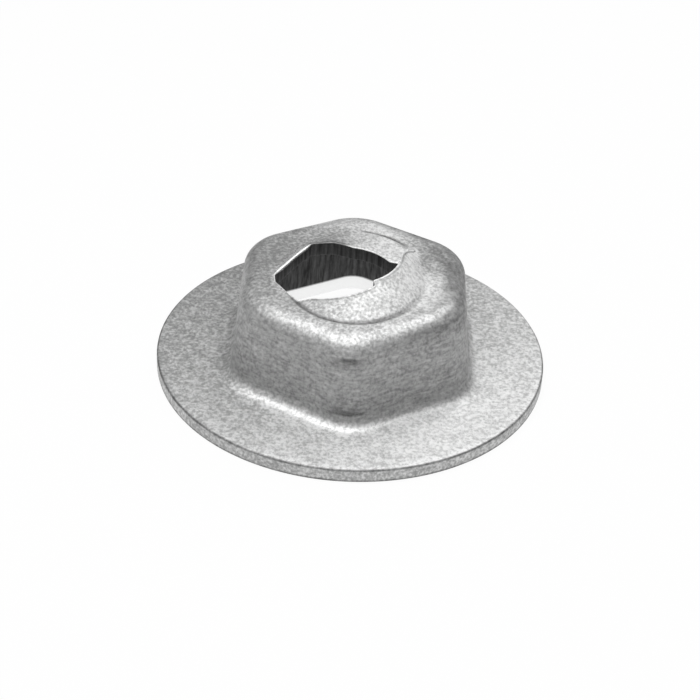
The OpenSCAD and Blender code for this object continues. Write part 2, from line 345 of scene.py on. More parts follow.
class StudioSetting(bpy.types.PropertyGroup):
    """Floor, lights and camera."""

    floor_colour: colour("Floor", "Colour of the floor and its cove", (0.90, 0.90, 0.90))
    floor_r: length("Floor radius", "Radius of the floor's flat", 500)
    cove_r: length("Cove radius", "Radius of the curve in which the floor rises all round", 120)
    floor_gap: length("Floor gap", "How far the floor lies under the seat", 0.01)
    whiteness: share("Whiteness", "Share of plain white in the floor round the nut", 0.95)
    sky: share("Sky", "Strength of the even light all round", 0.12)
    lamp_distance: length("Lamp distance", "Distance of each soft lamp from the seat's centre", 120)
    top_strength: share("Top lamp", "Radiance of the soft lamp overhead", 3.2)
    top_size: length("Top size", "Side of the soft lamp overhead", 100)
    top_turn: angle("Top turn", "Direction of the lamp overhead from +X", 235)
    top_elevation: angle("Top elevation", "Height of the lamp overhead above the horizon", 80)
    front_strength: share("Front lamp", "Radiance of the soft lamp at the front left", 1.5)
    front_size: length("Front size", "Side of the soft lamp at the front left", 70)
    front_turn: angle("Front turn", "Direction of the lamp at the front left from +X", 205)
    front_elevation: angle("Front elevation", "Height of the lamp at the front left above the horizon", 60)
    back_strength: share("Back lamp", "Radiance of the soft lamp at the back", 1.8)
    back_size: length("Back size", "Side of the soft lamp at the back", 85)
    back_turn: angle("Back turn", "Direction of the lamp at the back from +X", 50)
    back_elevation: angle("Back elevation", "Height of the lamp at the back above the horizon", 48)
    camera_distance: length("Camera distance", "Distance from the camera to the seat's centre", 70)
    camera_elevation: angle("Camera elevation", "Height of the camera over the horizon", 35.4)
    camera_roll: angle("Camera roll", "Turn of the camera about its line of sight", 2.97)
    camera_lens: share("Lens", "Focal length in millimetres", 87.0)
    camera_shift: share("Shift", "Upward shift of the frame", 0.0141)


def plan(reach, turn):
    """Points at a reach from the axis and a turn from +X, in plan."""
    return np.stack(np.broadcast_arrays(reach * np.cos(turn), reach * np.sin(turn)), axis=-1)


def run_of_steps():
    """Steps from nought towards one, leaving the last for the run that follows."""
    return np.arange(RUN_POINTS) / RUN_POINTS


def straight(start, stop):
    """A straight run from one point of the plan to another."""
    return start + (stop - start) * run_of_steps()[:, None]


def arc(radius, start, stop):
    """An arc of the plan about the axis, from one turn to another."""
    return plan(radius, start + (stop - start) * run_of_steps())


def softened(values, passes):
    """A closed row of values, each pass averaging one with its two neighbours."""
    for _ in range(passes):
        values = (np.roll(values, 1, axis=0) + 2 * values + np.roll(values, -1, axis=0)) / 4
    return values


def facing(turn, direction, power=1):
    """Share by which a turn faces a direction: the cosine between them, not below nought, to a power."""
    return np.clip(np.cos(turn - direction), 0, 1) ** power


def rising(value, start, span):
    """A straight rise from nought to one that begins at a start and takes a span."""
    return np.clip((value - start) / span, 0, 1)


def bell(value, middle, half):
    """A bell curve of height one about a middle."""
    return np.exp(-(((value - middle) / half) ** 2))


def opening_edge(sizes):
    """Edge of the opening in plan, once round from the slit's blind end, as straight runs and arcs.

    It goes down the slit's low side, past the trimmed tip, round the hole to the back jaw's end, round the
    notch, along the front jaw's relief and the hole again, and up the slit's high side to the blind end.
    Each point also has the turn that sets its climb and the turn that it runs out to beyond the crease.
    Columns are shared out evenly by the length of the edge and the turn together. The corners are then
    softened, and the outer turns much more, so that no two columns run out along one line.
    """
    across = plan(1, sizes.slit_facing)
    along = plan(1, sizes.slit_facing + TURN / 4)
    high = sizes.hole_r - sizes.slit_inset
    low = high - sizes.slit_w
    end_r = crease_reach(sizes, sizes.slit_facing + math.acos(high / sizes.crease_half_w))
    blind = math.sqrt(end_r ** 2 - high ** 2)
    high_tip = math.sqrt(sizes.hole_r ** 2 - high ** 2)
    high_turn = TURN + sizes.slit_facing + math.acos(high / sizes.hole_r)
    relief_run = sizes.relief_start + (sizes.corner_turn - sizes.relief_start) * run_of_steps()
    low_blind = low * across + blind * along
    high_blind = high * across + blind * along
    tip = low * across + sizes.tip_reach * along
    notch = [
        plan(sizes.hole_r, sizes.jaw_end_turn),
        plan(sizes.notch_jaw_r, sizes.notch_jaw_turn),
        plan(sizes.notch_back_r, sizes.notch_back_turn),
        plan(sizes.notch_side_r, sizes.notch_side_turn),
        plan(sizes.notch_corner_r, sizes.notch_corner_turn),
        plan(sizes.notch_front_r, sizes.notch_front_turn),
        plan(relief_reach(sizes, sizes.relief_start), sizes.relief_start),
    ]
    corner = plan(relief_reach(sizes, sizes.corner_turn), sizes.corner_turn)
    runs = [
        straight(low_blind, tip),
        straight(tip, plan(sizes.hole_r, sizes.tip_turn)),
        arc(sizes.hole_r, sizes.tip_turn, sizes.jaw_end_turn),
        *(straight(*ends) for ends in zip(notch, notch[1:])),
        plan(relief_reach(sizes, relief_run), relief_run),
        straight(corner, plan(sizes.hole_r, sizes.corner_turn)),
        arc(sizes.hole_r, sizes.corner_turn, high_turn),
        straight(high * across + high_tip * along, high_blind),
        straight(high_blind, low_blind),
    ]
    edge = np.concatenate(runs)
    climb_turn = np.unwrap(np.arctan2(edge[:, 1], edge[:, 0]))
    ring_turn = climb_turn.copy()
    steps = run_of_steps()
    fans = (sizes.blind_fan, sizes.tip_fan, sizes.jaw_fan, sizes.jaw_end_turn)
    for k in range(len(fans) - 1):
        ring_turn[k * RUN_POINTS:(k + 1) * RUN_POINTS] = fans[k] + (fans[k + 1] - fans[k]) * steps
    last = slice(-RUN_POINTS, None)
    ring_turn[last] += (TURN + sizes.blind_fan - ring_turn[-1]) * steps
    climb_turn[last] -= TURN * steps

    table = np.column_stack([edge, climb_turn, ring_turn])
    closing = table[:1] + [[0, 0, 0, TURN]]
    table = np.concatenate([table, closing])
    moves = np.diff(table, axis=0)
    measure = np.hypot(np.hypot(moves[:, 0], moves[:, 1]), TURN_WEIGHT * moves[:, 3])
    travelled = np.concatenate([[0], np.cumsum(measure)])
    wanted = travelled[-1] * np.arange(COLUMNS) / COLUMNS
    table = np.column_stack([np.interp(wanted, travelled, column) for column in table.T])
    evenly = TURN * np.arange(COLUMNS) / COLUMNS
    table[:, 3] -= evenly
    table[:, :3] = softened(table[:, :3], CORNER_PASSES)
    table[:, 3] = softened(table[:, 3], FAN_PASSES) + evenly
    return table[:, :2], table[:, 2], table[:, 3]


def hexagon_reach(half, corner, turn):
    """Distance from the axis to a hexagon with rounded corners, the corners at 30, 90 degrees and so on.

    Near a corner it is the far crossing with the corner's own circle, and elsewhere it is the flat's
    distance over the cosine of the turn from the flat's middle.
    """
    off = np.abs((turn % (TURN / 6)) - TURN / 12)
    centre = (half - corner) / math.cos(TURN / 12)
    meet = np.arctan2(corner * math.sin(TURN / 12), centre + corner * math.cos(TURN / 12))
    round_part = centre * np.cos(off) + np.sqrt(np.maximum(corner ** 2 - (centre * np.sin(off)) ** 2, 0))
    return np.where(off <= meet, round_part, half / np.cos(TURN / 12 - off))


def crease_reach(sizes, turn):
    """Distance from the axis to the oval crease: the far root of its equation along a direction."""
    square = (np.cos(turn) / sizes.crease_half_w) ** 2 + (np.sin(turn) / sizes.crease_half_l) ** 2
    half_linear = sizes.crease_shift * np.sin(turn) / sizes.crease_half_l ** 2
    constant = (sizes.crease_shift / sizes.crease_half_l) ** 2 - 1
    return (np.sqrt(half_linear ** 2 - square * constant) - half_linear) / square


def relief_reach(sizes, turn):
    """Distance from the axis to the relief's arc, whose centre lies off the axis."""
    off = sizes.relief_shift * np.cos(turn - sizes.relief_turn)
    return off + np.sqrt(sizes.relief_r ** 2 - sizes.relief_shift ** 2 + off ** 2)


class Section:
    """Stations of the sheet's section, gathered as rows of points, one point for each column."""

    def __init__(self, turn):
        self.turn = turn
        self.rows = []
        self.looks = {name: [] for name in (*LOOKS, WAVES)}

    def add(self, points, **looks):
        """Adds rows of points, with their looks for each row or point, which are nought where not given."""
        self.rows.append(points)
        for name, values in self.looks.items():
            values.append(np.broadcast_to(looks.get(name, 0.0), points.shape[:2]))

    def add_rings(self, reach, height, **looks):
        """Adds one ring for each height, at the reach given for each column."""
        flat = plan(np.broadcast_to(reach, (len(height), len(self.turn))), self.turn)
        tall = np.broadcast_to(height[..., None], flat.shape[:2] + (1,))
        self.add(np.concatenate([flat, tall], axis=-1), **looks)

    def grid(self):
        """All rows as one array of stations, columns and coordinates."""
        return np.concatenate(self.rows)

    def look(self, name):
        """One look as a value for each station and column."""
        return np.concatenate(self.looks[name])


def groove_share(sizes, points):
    """Share of the groove's depth at points of the plan: a bell curve across the crease.

    The groove is deepest at the front, and a short tool mark along the back of the crease is as deep.
    """
    bearing = np.arctan2(points[..., 1], points[..., 0])
    inwards = crease_reach(sizes, bearing) - np.hypot(points[..., 0], points[..., 1])
    front = np.maximum(np.cos(bearing - sizes.groove_turn), 0)
    mark = np.exp(-((((bearing - sizes.mark_turn + TURN / 2) % TURN - TURN / 2) / sizes.mark_half) ** 4))
    return (front + mark) * np.exp(-2 * (inwards / sizes.groove_half) ** 2)


def lip_height(sizes, points, climb_turn, edge):
    """Height of the crown's upper face over the crown at points of the plan.

    Inside the crease the sheet climbs with the turn, in proportion to the way in from the crease. The bend
    at the crease is softened by taking half the sum of the distance and the root of its square plus a small
    square. The groove along the crease is taken off.
    """
    bearing = np.arctan2(points[..., 1], points[..., 0])
    start = np.arctan2(edge[:, 1], edge[:, 0])
    turn = climb_turn + (bearing - start + TURN / 2) % TURN - TURN / 2
    crease = crease_reach(sizes, bearing)
    inwards = crease - np.hypot(points[..., 0], points[..., 1])
    front = np.maximum(np.cos(bearing - sizes.groove_turn), 0)
    soft = sizes.bend_soft + (sizes.groove_half / 2 - sizes.bend_soft) * front
    inside = (inwards + np.hypot(inwards, soft)) / 2
    middle = sizes.hole_r - sizes.slit_inset - sizes.slit_w / 2
    low_turn = sizes.slit_facing + math.acos(middle / sizes.hole_r)
    climb = sizes.low_end + sizes.pitch * (turn - low_turn) / TURN
    fade = rising(inwards, -2 * sizes.groove_half, 2 * sizes.groove_half)
    groove = sizes.groove_depth * groove_share(sizes, points)
    return climb * fade * inside / (crease - sizes.hole_r) - groove


class Sheet:
    """The form of the pressed sheet: the lip round the opening, and the bends and the wall below it.

    The lip is ruled from the opening's edge to a ring just outside the crease and the notch. Every ring
    beyond it is a rounded hexagon or a circle. The bends of both faces share a centre, so the sheet keeps
    its thickness.
    """

    def __init__(self, sizes):
        self.sizes = sizes
        self.edge, self.climb_turn, self.turn = opening_edge(sizes)
        self.bearing = np.arctan2(self.edge[:, 1], self.edge[:, 0]) % TURN
        self.ring_r = np.maximum(
            crease_reach(sizes, self.turn) + 2 * sizes.groove_half, sizes.notch_corner_r + sizes.notch_clear
        )
        self.ruling = plan(self.ring_r, self.turn) - self.edge
        self.ruling_length = np.hypot(self.ruling[:, 0], self.ruling[:, 1])
        side_turn = sizes.notch_side_turn - sizes.notch_back_turn
        along_side = (self.bearing - sizes.notch_back_turn) / side_turn
        self.rolled = rising(along_side, 0, ROLL_END) * rising(1 - along_side, 0, ROLL_END)
        self.edge_r = sizes.edge_r + (sizes.notch_edge_r - sizes.edge_r) * self.rolled
        self.lip_in = self.edge_r + (self.ruling_length - self.edge_r) * LIP_SHARE
        self.steep = TURN / 4 - sizes.draft
        self.root_centre = sizes.hex_half + sizes.root_bend_r * math.cos(sizes.draft)
        self.root_centre_z = sizes.sheet_t + sizes.root_bend_r
        self.wall_foot_z = self.root_centre_z - sizes.root_bend_r * math.sin(sizes.draft)
        self.crown_outer_r = sizes.crown_bend_r + sizes.sheet_t
        self.crown_centre_z = sizes.crown_z - self.crown_outer_r
        wall_top_z = self.crown_centre_z + self.crown_outer_r * math.sin(sizes.draft)
        self.wall_top_half = sizes.hex_half - (wall_top_z - self.wall_foot_z) * math.tan(sizes.draft)
        self.crown_centre = self.wall_top_half - self.crown_outer_r * math.cos(sizes.draft)

    def lip(self, inset, drop):
        """Rows of the lip at a distance in from the opening's edge and a drop below the upper face."""
        flat = self.edge + self.ruling * (inset / self.ruling_length)[..., None]
        climb = lip_height(self.sizes, flat, self.climb_turn, self.edge)
        return np.concatenate([flat, (self.sizes.crown_z + climb - drop)[..., None]], axis=-1)

    def root(self, depth, lean):
        """Half width, corner rounding and height of the root bend at a depth in the sheet and a lean."""
        bend = self.sizes.root_bend_r + depth
        half = self.root_centre - bend * np.sin(lean)
        corner = self.sizes.corner_foot_r + half - self.sizes.hex_half
        return half, corner, self.root_centre_z - bend * np.cos(lean)

    def crown(self, depth, lean):
        """Half width, corner rounding and height of the crown bend at a depth in the sheet and a lean."""
        bend = self.crown_outer_r - depth
        half = self.crown_centre + bend * np.cos(lean)
        corner = self.sizes.corner_crown_r + half - self.wall_top_half
        return half, corner, self.crown_centre_z + bend * np.sin(lean)

    def rings(self, half, corner, height):
        """Reach of hexagonal rings for each column, with their heights."""
        return hexagon_reach(half, corner, self.turn), height

    def wall(self, depth, blend):
        """Rings of the straight wall between its two bends, at shares of the way down."""
        top = np.array(self.crown(depth, self.sizes.draft))
        foot = np.array(self.root(depth, self.steep))
        return self.rings(*(top + (foot - top) * blend).T[..., None])

    def crown_bend(self, depth, share_down):
        """Rings of the crown's bend, from the crown at nought to the wall at one."""
        return self.rings(*self.crown(depth, TURN / 4 - self.steep * share_down))

    def root_bend(self, depth, share_down):
        """Rings of the root's bend, from the wall at nought to the flange at one."""
        return self.rings(*self.root(depth, self.steep * (1 - share_down)))


class PaintedLight:
    """Painted light and shade round the nut: shares for each column, or for each station and column."""

    def __init__(self, sheet, marks):
        turn = sheet.turn
        self.marks = marks
        self.front = facing(turn, -TURN / 4)
        self.back = facing(turn, TURN / 4)
        self.left = rising(-np.cos(turn), -marks.left_start, 1)
        self.right = facing(turn, 0, 2)
        self.front_left = self.left * self.front
        # Painted shade: the flange darker towards the back left
        self.flange_shade = marks.flange_shade * (1 - np.cos(turn - marks.flange_lit_turn)) / 2
        # Painted shade on the crown's left side, beside the slit and a little at the front
        self.left_shade = facing(turn, marks.crown_shade_turn, marks.crown_shade_power)
        self.slit_shade = marks.slit_shade * facing(turn, marks.slit_shade_turn, marks.slit_shade_power)
        self.crown_shade = marks.crown_shade_front * self.front + self.left_shade + self.slit_shade
        # Painted highlights on the crown towards the front and along its back edge
        bright = np.cos(turn - marks.crown_bright_turn)
        self.crown_highlight = marks.crown_highlight * rising(
            bright, -marks.crown_bright_start, marks.crown_bright_span
        )
        self.back_highlight = marks.back_highlight * bell(turn % TURN, marks.back_highlight_turn, marks.back_highlight_half)
        # Painted shade along the notch's back edge, between the jaw's end and the straight side
        past_jaw = rising(sheet.bearing, sheet.sizes.jaw_end_turn, marks.back_shade_start)
        self.back_edge = past_jaw * (
            1 - rising(sheet.bearing, sheet.sizes.notch_back_turn, marks.back_shade_stop)
        )

    def lip_shade(self, turn):
        """Painted shade on the lip, passing into the crown's towards the crease."""
        marks = self.marks
        front = marks.lip_shade * facing(turn, marks.lip_shade_turn)
        jaw = marks.jaw_shade * facing(turn, marks.jaw_shade_turn, marks.jaw_shade_power)
        slit = self.slit_shade * rising(LIP_SHARE, marks.slit_shade_start, marks.slit_shade_start)
        own = np.maximum(front + jaw, marks.lip_left * self.left_shade) + slit
        return own + (self.crown_shade - own) * LIP_SHARE ** marks.lip_power

    def lip_painted_shade(self, sheet):
        """Painted shade: a dark line along the cut edges of the jaws and soft shade along the notch's back
        edge.
        """
        marks = self.marks
        from_edge = sheet.lip_in - sheet.edge_r
        line = 1 - rising(from_edge, marks.edge_line / 2, marks.edge_line)
        high_end = rising(sheet.climb_turn, TURN - marks.slit_line_turn, marks.slit_line_turn)
        front_jaw = np.where(sheet.bearing > sheet.sizes.relief_start, marks.jaw_line, 0.0)
        shade = self.back_edge * np.exp(-from_edge / marks.back_shade)
        return np.maximum(line * np.maximum(high_end, front_jaw), shade)

    def crown_painted_shade(self):
        """Share of painted shade on the crown's bend, less where a highlight is painted along its back
        edge.
        """
        marks = self.marks
        lead = marks.crown_lead + marks.crown_lead_right * self.right
        reached = rising(BEND_SHARE, marks.crown_delay_front * self.front - lead, marks.crown_span)
        return reached * (1 - self.back_highlight * (1 - BEND_SHARE))

    def shoulder_painted_shade(self, back_share):
        """Painted shade on the crown's bend beyond the walls', on the right and, by a share, at the back.
        """
        shoulder = self.marks.shoulder_painted_shade * self.right + self.back * back_share
        return (1 - self.marks.wall_painted_shade) * shoulder

    def wall_painted_shade(self, turn):
        """Painted shade on the walls, with the bend's fading down them and two darker marks on the front
        corner.
        """
        marks = self.marks
        corner = marks.corner_darkening * bell(turn % TURN, marks.corner_turn, marks.corner_half)
        upper = bell(WALL_SHARE, marks.corner_top, marks.corner_top_half)
        lower = bell(WALL_SHARE, marks.corner_foot, marks.corner_foot_half)
        fading = self.shoulder_painted_shade(1) * np.exp(-WALL_SHARE / marks.shoulder_fade)
        return marks.wall_painted_shade + marks.foot_painted_shade * WALL_SHARE + corner * (upper + lower) + fading

    def root_painted_shade(self):
        """Share of the walls' painted shade left along the root's bend."""
        marks = self.marks
        start = marks.root_start - marks.root_lead_left * self.left
        return 1 - rising(BEND_SHARE, start, marks.root_span - marks.root_span_left * self.left)


def between(first, last, shares):
    """Rings at shares of the way from one to another."""
    return first + (last - first) * shares


def add_crown(section, sheet, painted_light):
    """Adds the outer face from the opening's edge over the lip and the crown's flat to its bend."""
    sizes = sheet.sizes
    marks = painted_light.marks
    # The edge's rounding: its cut side takes the hollow's painted dark, and the notch's rolled edge a
    # painted highlight
    section.add(
        sheet.lip(sheet.edge_r * (1 - np.cos(ROUND_OVER)), sheet.edge_r * (1 - np.sin(ROUND_OVER))),
        hollow=1 - rising(ROUND_SHARE, marks.edge_dark * painted_light.back_edge, marks.edge_fade),
        rubbed=sheet.rolled * rising(ROUND_SHARE, 0, marks.roll_start),
    )
    lip_top = sheet.lip(sheet.lip_in, 0)
    # The lip: painted shade in the groove, the tool mark, along the cut edges and on its sides, and painted
    # highlights on the rolled edge and towards the front
    roll = sheet.rolled * (1 - rising(sheet.lip_in / sheet.edge_r, marks.roll_reach, 1))
    section.add(
        lip_top,
        waves=LIP_WAVES,
        drawn=np.maximum(groove_share(sizes, lip_top), painted_light.lip_painted_shade(sheet)),
        dull=painted_light.lip_shade(sheet.turn),
        rubbed=roll + painted_light.crown_highlight * LIP_SHARE ** marks.lip_power,
    )
    # The crown's flat and bend: painted shade on the sides and down the bend, painted highlights towards
    # the front and along the back
    bend_reach, bend_height = sheet.crown_bend(0, BEND_SHARE)
    section.add_rings(
        between(sheet.ring_r, bend_reach[0], FLAT_SHARE),
        np.full_like(FLAT_SHARE, sizes.crown_z),
        waves=1.0,
        dull=painted_light.crown_shade,
        rubbed=painted_light.crown_highlight + painted_light.back_highlight * FLAT_SHARE,
        drawn=marks.flat_painted_shade * painted_light.right * FLAT_SHARE,
    )
    drawn = painted_light.crown_painted_shade()
    section.add_rings(
        bend_reach,
        bend_height,
        waves=1.0,
        dull=painted_light.crown_shade * (1 - drawn),
        rubbed=(painted_light.crown_highlight + painted_light.back_highlight) * (1 - drawn),
        drawn=drawn * (marks.wall_painted_shade + painted_light.shoulder_painted_shade(BEND_SHARE)),
    )


def add_wall_and_flange(section, sheet, painted_light):
    """Adds the outer face from the wall down over the root's bend and out along the flange to the rim."""
    sizes = sheet.sizes
    marks = painted_light.marks
    # The walls take painted shade
    section.add_rings(*sheet.wall(0, WALL_SHARE), waves=1.0, drawn=painted_light.wall_painted_shade(sheet.turn))
    root_reach, root_height = sheet.root_bend(0, BEND_SHARE)
    # The root's bend: the walls' painted shade fading out, and a painted highlight at the front left
    drawn = painted_light.root_painted_shade()
    rubbed = marks.root_highlight * painted_light.front_left
    section.add_rings(
        root_reach,
        root_height,
        waves=1.0,
        dull=painted_light.flange_shade * (1 - drawn),
        rubbed=rubbed * rising(BEND_SHARE, marks.root_start, marks.root_start),
        drawn=marks.wall_painted_shade * drawn,
    )
    # The flange: painted shade towards the back left
    top_reach = sizes.flange_r - sizes.rim_top_r
    section.add_rings(
        between(root_reach[-1], top_reach, FLANGE_SHARE),
        np.full_like(FLANGE_SHARE, sizes.sheet_t),
        waves=1 - FLANGE_SHARE,
        dull=painted_light.flange_shade,
        rubbed=rubbed * rising(marks.highlight_reach - FLANGE_SHARE, 0, marks.highlight_fade),
    )
    # The rim: duller plate, with painted shade along its rounded edges
    section.add_rings(
        top_reach + sizes.rim_top_r * np.sin(ROUND_OVER),
        sizes.sheet_t - sizes.rim_top_r * (1 - np.cos(ROUND_OVER)),
        dull=between(painted_light.flange_shade, marks.rim_dull, ROUND_SHARE),
        drawn=marks.rim_painted_shade * np.sin(TURN / 2 * ROUND_SHARE),
    )
    section.add_rings(
        np.full_like(RIM_SHARE, sizes.flange_r),
        between(sizes.sheet_t - sizes.rim_top_r, sizes.rim_foot_r, RIM_SHARE),
        dull=marks.rim_dull,
    )
    section.add_rings(
        sizes.flange_r - sizes.rim_foot_r * (1 - np.cos(ROUND_OVER)),
        sizes.rim_foot_r * (1 - np.sin(ROUND_OVER)),
        dull=marks.rim_dull,
        drawn=marks.rim_painted_shade,
    )


def add_inside(section, sheet):
    """Adds the seat, the mouth, the hollow and the lip's under face, back to the opening's edge."""
    sizes = sheet.sizes
    root_reach, root_height = sheet.root_bend(sizes.sheet_t, BEND_SHARE[::-1])
    seat_reach = between(sizes.flange_r - sizes.rim_foot_r, root_reach[0], FLANGE_SHARE)
    section.add_rings(seat_reach, np.zeros_like(FLANGE_SHARE))
    # The mouth's bend and the wall's foot inside take a painted highlight; the hollow above takes the
    # painted dark
    section.add_rings(root_reach, root_height, rubbed=1.0)
    wall_reach, wall_height = sheet.wall(sizes.sheet_t, WALL_SHARE[::-1])
    in_hollow = np.where(wall_height > sheet.wall_foot_z + sizes.mouth_h, 1.0, 0.0)
    section.add_rings(wall_reach, wall_height, hollow=in_hollow, rubbed=1 - in_hollow)
    bend_reach, bend_height = sheet.crown_bend(sizes.sheet_t, BEND_SHARE[::-1])
    section.add_rings(bend_reach, bend_height, hollow=1.0)
    under_z = np.full_like(FLAT_SHARE, sizes.crown_z - sizes.sheet_t)
    section.add_rings(between(bend_reach[-1], sheet.ring_r, FLAT_SHARE), under_z, hollow=1.0)
    section.add(sheet.lip(sheet.lip_in[::-1], sizes.sheet_t), hollow=1.0)
    lean = ROUND_OVER[::-1]
    foot_drop = sizes.sheet_t - sizes.edge_r * (1 - np.sin(lean))
    section.add(sheet.lip(sizes.edge_r * (1 - np.cos(lean)), foot_drop), hollow=1.0)


def nut_section(sizes, marks):
    """The nut's skin as a closed run of stations: over the crown, down the outside and up the inside."""
    sheet = Sheet(sizes)
    painted_light = PaintedLight(sheet, marks)
    section = Section(sheet.turn)
    add_crown(section, sheet, painted_light)
    add_wall_and_flange(section, sheet, painted_light)
    add_inside(section, sheet)
    return section


def grid_normals(grid):
    """Outward normals of a closed grid: the section's direction crossed with the turn's direction."""
    along = np.roll(grid, -1, axis=0) - np.roll(grid, 1, axis=0)
    around = np.roll(grid, -1, axis=1) - np.roll(grid, 1, axis=1)
    normal = np.cross(along, around)
    return normal / np.maximum(np.linalg.norm(normal, axis=-1, keepdims=True), TINY)


def pressed_waves(points):
    """Faint waves of the pressed sheet, between minus one and one: the mean of sines of slanted planes."""
    return np.sin(points / MM @ np.array(WAVE_DIRECTIONS).T + WAVE_PHASES).mean(axis=-1)


def closed_grid_mesh(name, grid, looks):
    """A mesh from a grid that closes on itself both ways, with a smooth face in each cell."""
    stations, columns = grid.shape[:2]
    index = np.arange(stations * columns, dtype=np.int32).reshape(stations, columns)
    below = np.roll(index, -1, axis=0)
    quads = np.stack([index, below, np.roll(below, -1, axis=1), np.roll(index, -1, axis=1)], axis=-1)
    count = stations * columns
    mesh = bpy.data.meshes.new(name)
    mesh.vertices.add(count)
    mesh.vertices.foreach_set("co", grid.astype(np.float32).ravel())
    mesh.loops.add(4 * count)
    mesh.loops.foreach_set("vertex_index", quads.ravel())
    mesh.polygons.add(count)
    mesh.polygons.foreach_set("loop_start", np.arange(0, 4 * count, 4, dtype=np.int32))
    mesh.polygons.foreach_set("use_smooth", np.ones(count, dtype=bool))
    mesh.update(calc_edges=True)
    for look, values in looks.items():
        attribute = mesh.attributes.new(look, "FLOAT", "POINT")
        attribute.data.foreach_set("value", values.astype(np.float32).ravel())
    if mesh.validate():
        raise RuntimeError("the nut's grid made a faulty mesh")
    return mesh


class NodeMaker:
    """Short calls for adding and joining the nodes of one tree."""

    def __init__(self, tree):
        self.tree = tree

    def add(self, kind, inputs=None, **settings):
        """Adds a node, sets its own settings, and sets or joins its inputs by name or number."""
        node = self.tree.nodes.new(kind)
        for key, value in settings.items():
            setattr(node, key, value)
        for key, value in (inputs or {}).items():
            if isinstance(value, bpy.types.NodeSocket):
                self.tree.links.new(value, node.inputs[key])
            else:
                node.inputs[key].default_value = value
        return node

    def math(self, operation, first, second):
        """A sum, product or other operation on two values."""
        return self.add("ShaderNodeMath", {0: first, 1: second}, operation=operation).outputs[0]

    def ramp(self, value, from_range, to_range, interpolation="LINEAR"):
        """A value carried from one range to another and kept inside it."""
        return self.add(
            "ShaderNodeMapRange",
            {
                "Value": value,
                "From Min": from_range[0],
                "From Max": from_range[1],
                "To Min": to_range[0],
                "To Max": to_range[1],
            },
            interpolation_type=interpolation,
        ).outputs["Result"]

    def noise(self, place, size, detail):
        """Cloudy noise of a given size of grain."""
        return self.add(
            "ShaderNodeTexNoise",
            {"Vector": place, "Scale": 1 / size, "Detail": detail, "Roughness": NOISE_ROUGHNESS},
        ).outputs["Fac"]

    def stretched(self, place, scale):
        """Coordinates scaled along each axis."""
        return self.add("ShaderNodeMapping", {"Vector": place, "Scale": scale}).outputs["Vector"]

    def scaled(self, value, factor):
        """A colour made lighter or darker."""
        return self.add("ShaderNodeVectorMath", {0: value, "Scale": factor}, operation="SCALE").outputs[0]

    def mix(self, factor, first, second):
        """One colour fading into another."""
        node = self.add("ShaderNodeMix", {"Factor": factor}, data_type="RGBA")
        for key, value in ((6, first), (7, second)):
            if isinstance(value, bpy.types.NodeSocket):
                self.tree.links.new(value, node.inputs[key])
            else:
                node.inputs[key].default_value = value
        return node.outputs[2]


def new_material(name):
    """An empty node material and its maker."""
    material = bpy.data.materials.new(name)
    material.use_nodes = True
    material.node_tree.nodes.clear()
    return material, NodeMaker(material.node_tree)


def opaque(value):
    """A colour with full opacity added."""
    return (*value, 1.0)


def zinc_material(finish):
    """Dull zinc plate: patches and grains of duller metal, painted shade on the walls and sides, painted
    highlights on the bends and edges, and the hollow's painted dark.
    """
    material, make = new_material("zinc_plate")
    place = make.add("ShaderNodeTexCoord").outputs["Object"]
    looks = {name: make.add("ShaderNodeAttribute", attribute_name=name).outputs["Fac"] for name in LOOKS}
    grain = make.noise(place, finish.grain, FINE_DETAIL)
    mottle = make.noise(place, finish.mottle, COARSE_DETAIL)
    streaks = make.noise(make.stretched(place, STREAK_SQUEEZE), finish.streak, COARSE_DETAIL)
    drips = make.noise(make.stretched(place, DRIP_STRETCH), finish.grain, FINE_DETAIL)
    patches = make.ramp(mottle, NOISE_RANGE, PATCH_RANGE)
    specks = make.ramp(grain, SPECK_NOISE_RANGE, SPECK_RANGE)
    dullness = make.math("ADD", patches, specks)
    # The dull look adds painted shade on the sides, and the rim's duller plate
    dullness = make.math("ADD", dullness, make.math("MULTIPLY", looks["dull"], finish.dull_and_shade_weight))
    darkness = make.ramp(dullness, DULL_RANGE, UNIT_RANGE, "SMOOTHSTEP")
    plate = make.mix(darkness, opaque(finish.light), opaque(finish.dark))
    # Painted highlight, less on the dullest grains
    gain = make.math("MULTIPLY", looks["rubbed"], finish.highlight_weight)
    painted_light = make.math("SUBTRACT", gain, make.math("MULTIPLY", dullness, finish.highlight_loss))
    plate = make.mix(make.ramp(painted_light, UNIT_RANGE, UNIT_RANGE), plate, opaque(finish.rubbed))
    # Painted shade, varied by streaks
    darkened = make.ramp(looks["drawn"], UNIT_RANGE, (1.0, finish.drawn))
    streaked = make.math("MULTIPLY", looks["drawn"], make.ramp(streaks, NOISE_RANGE, STREAK_RANGE))
    plate = make.scaled(plate, make.math("MULTIPLY", darkened, make.math("ADD", streaked, 1.0)))
    # The hollow's painted dark, varied by drips
    depths = make.scaled(tuple(finish.hollow), make.ramp(drips, NOISE_RANGE, DRIP_RANGE))
    skin = make.mix(looks["hollow"], plate, depths)
    roughness = make.ramp(looks["rubbed"], UNIT_RANGE, (finish.roughness, finish.highlight_roughness))
    bump = make.add(
        "ShaderNodeBump", {"Height": grain, "Distance": finish.grain_depth, "Strength": 1.0}
    ).outputs["Normal"]
    shader = make.add(
        "ShaderNodeBsdfPrincipled",
        {"Base Color": skin, "Roughness": roughness, "Normal": bump, "Metallic": 1.0},
    )
    make.add("ShaderNodeOutputMaterial", {"Surface": shader.outputs["BSDF"]})
    return material


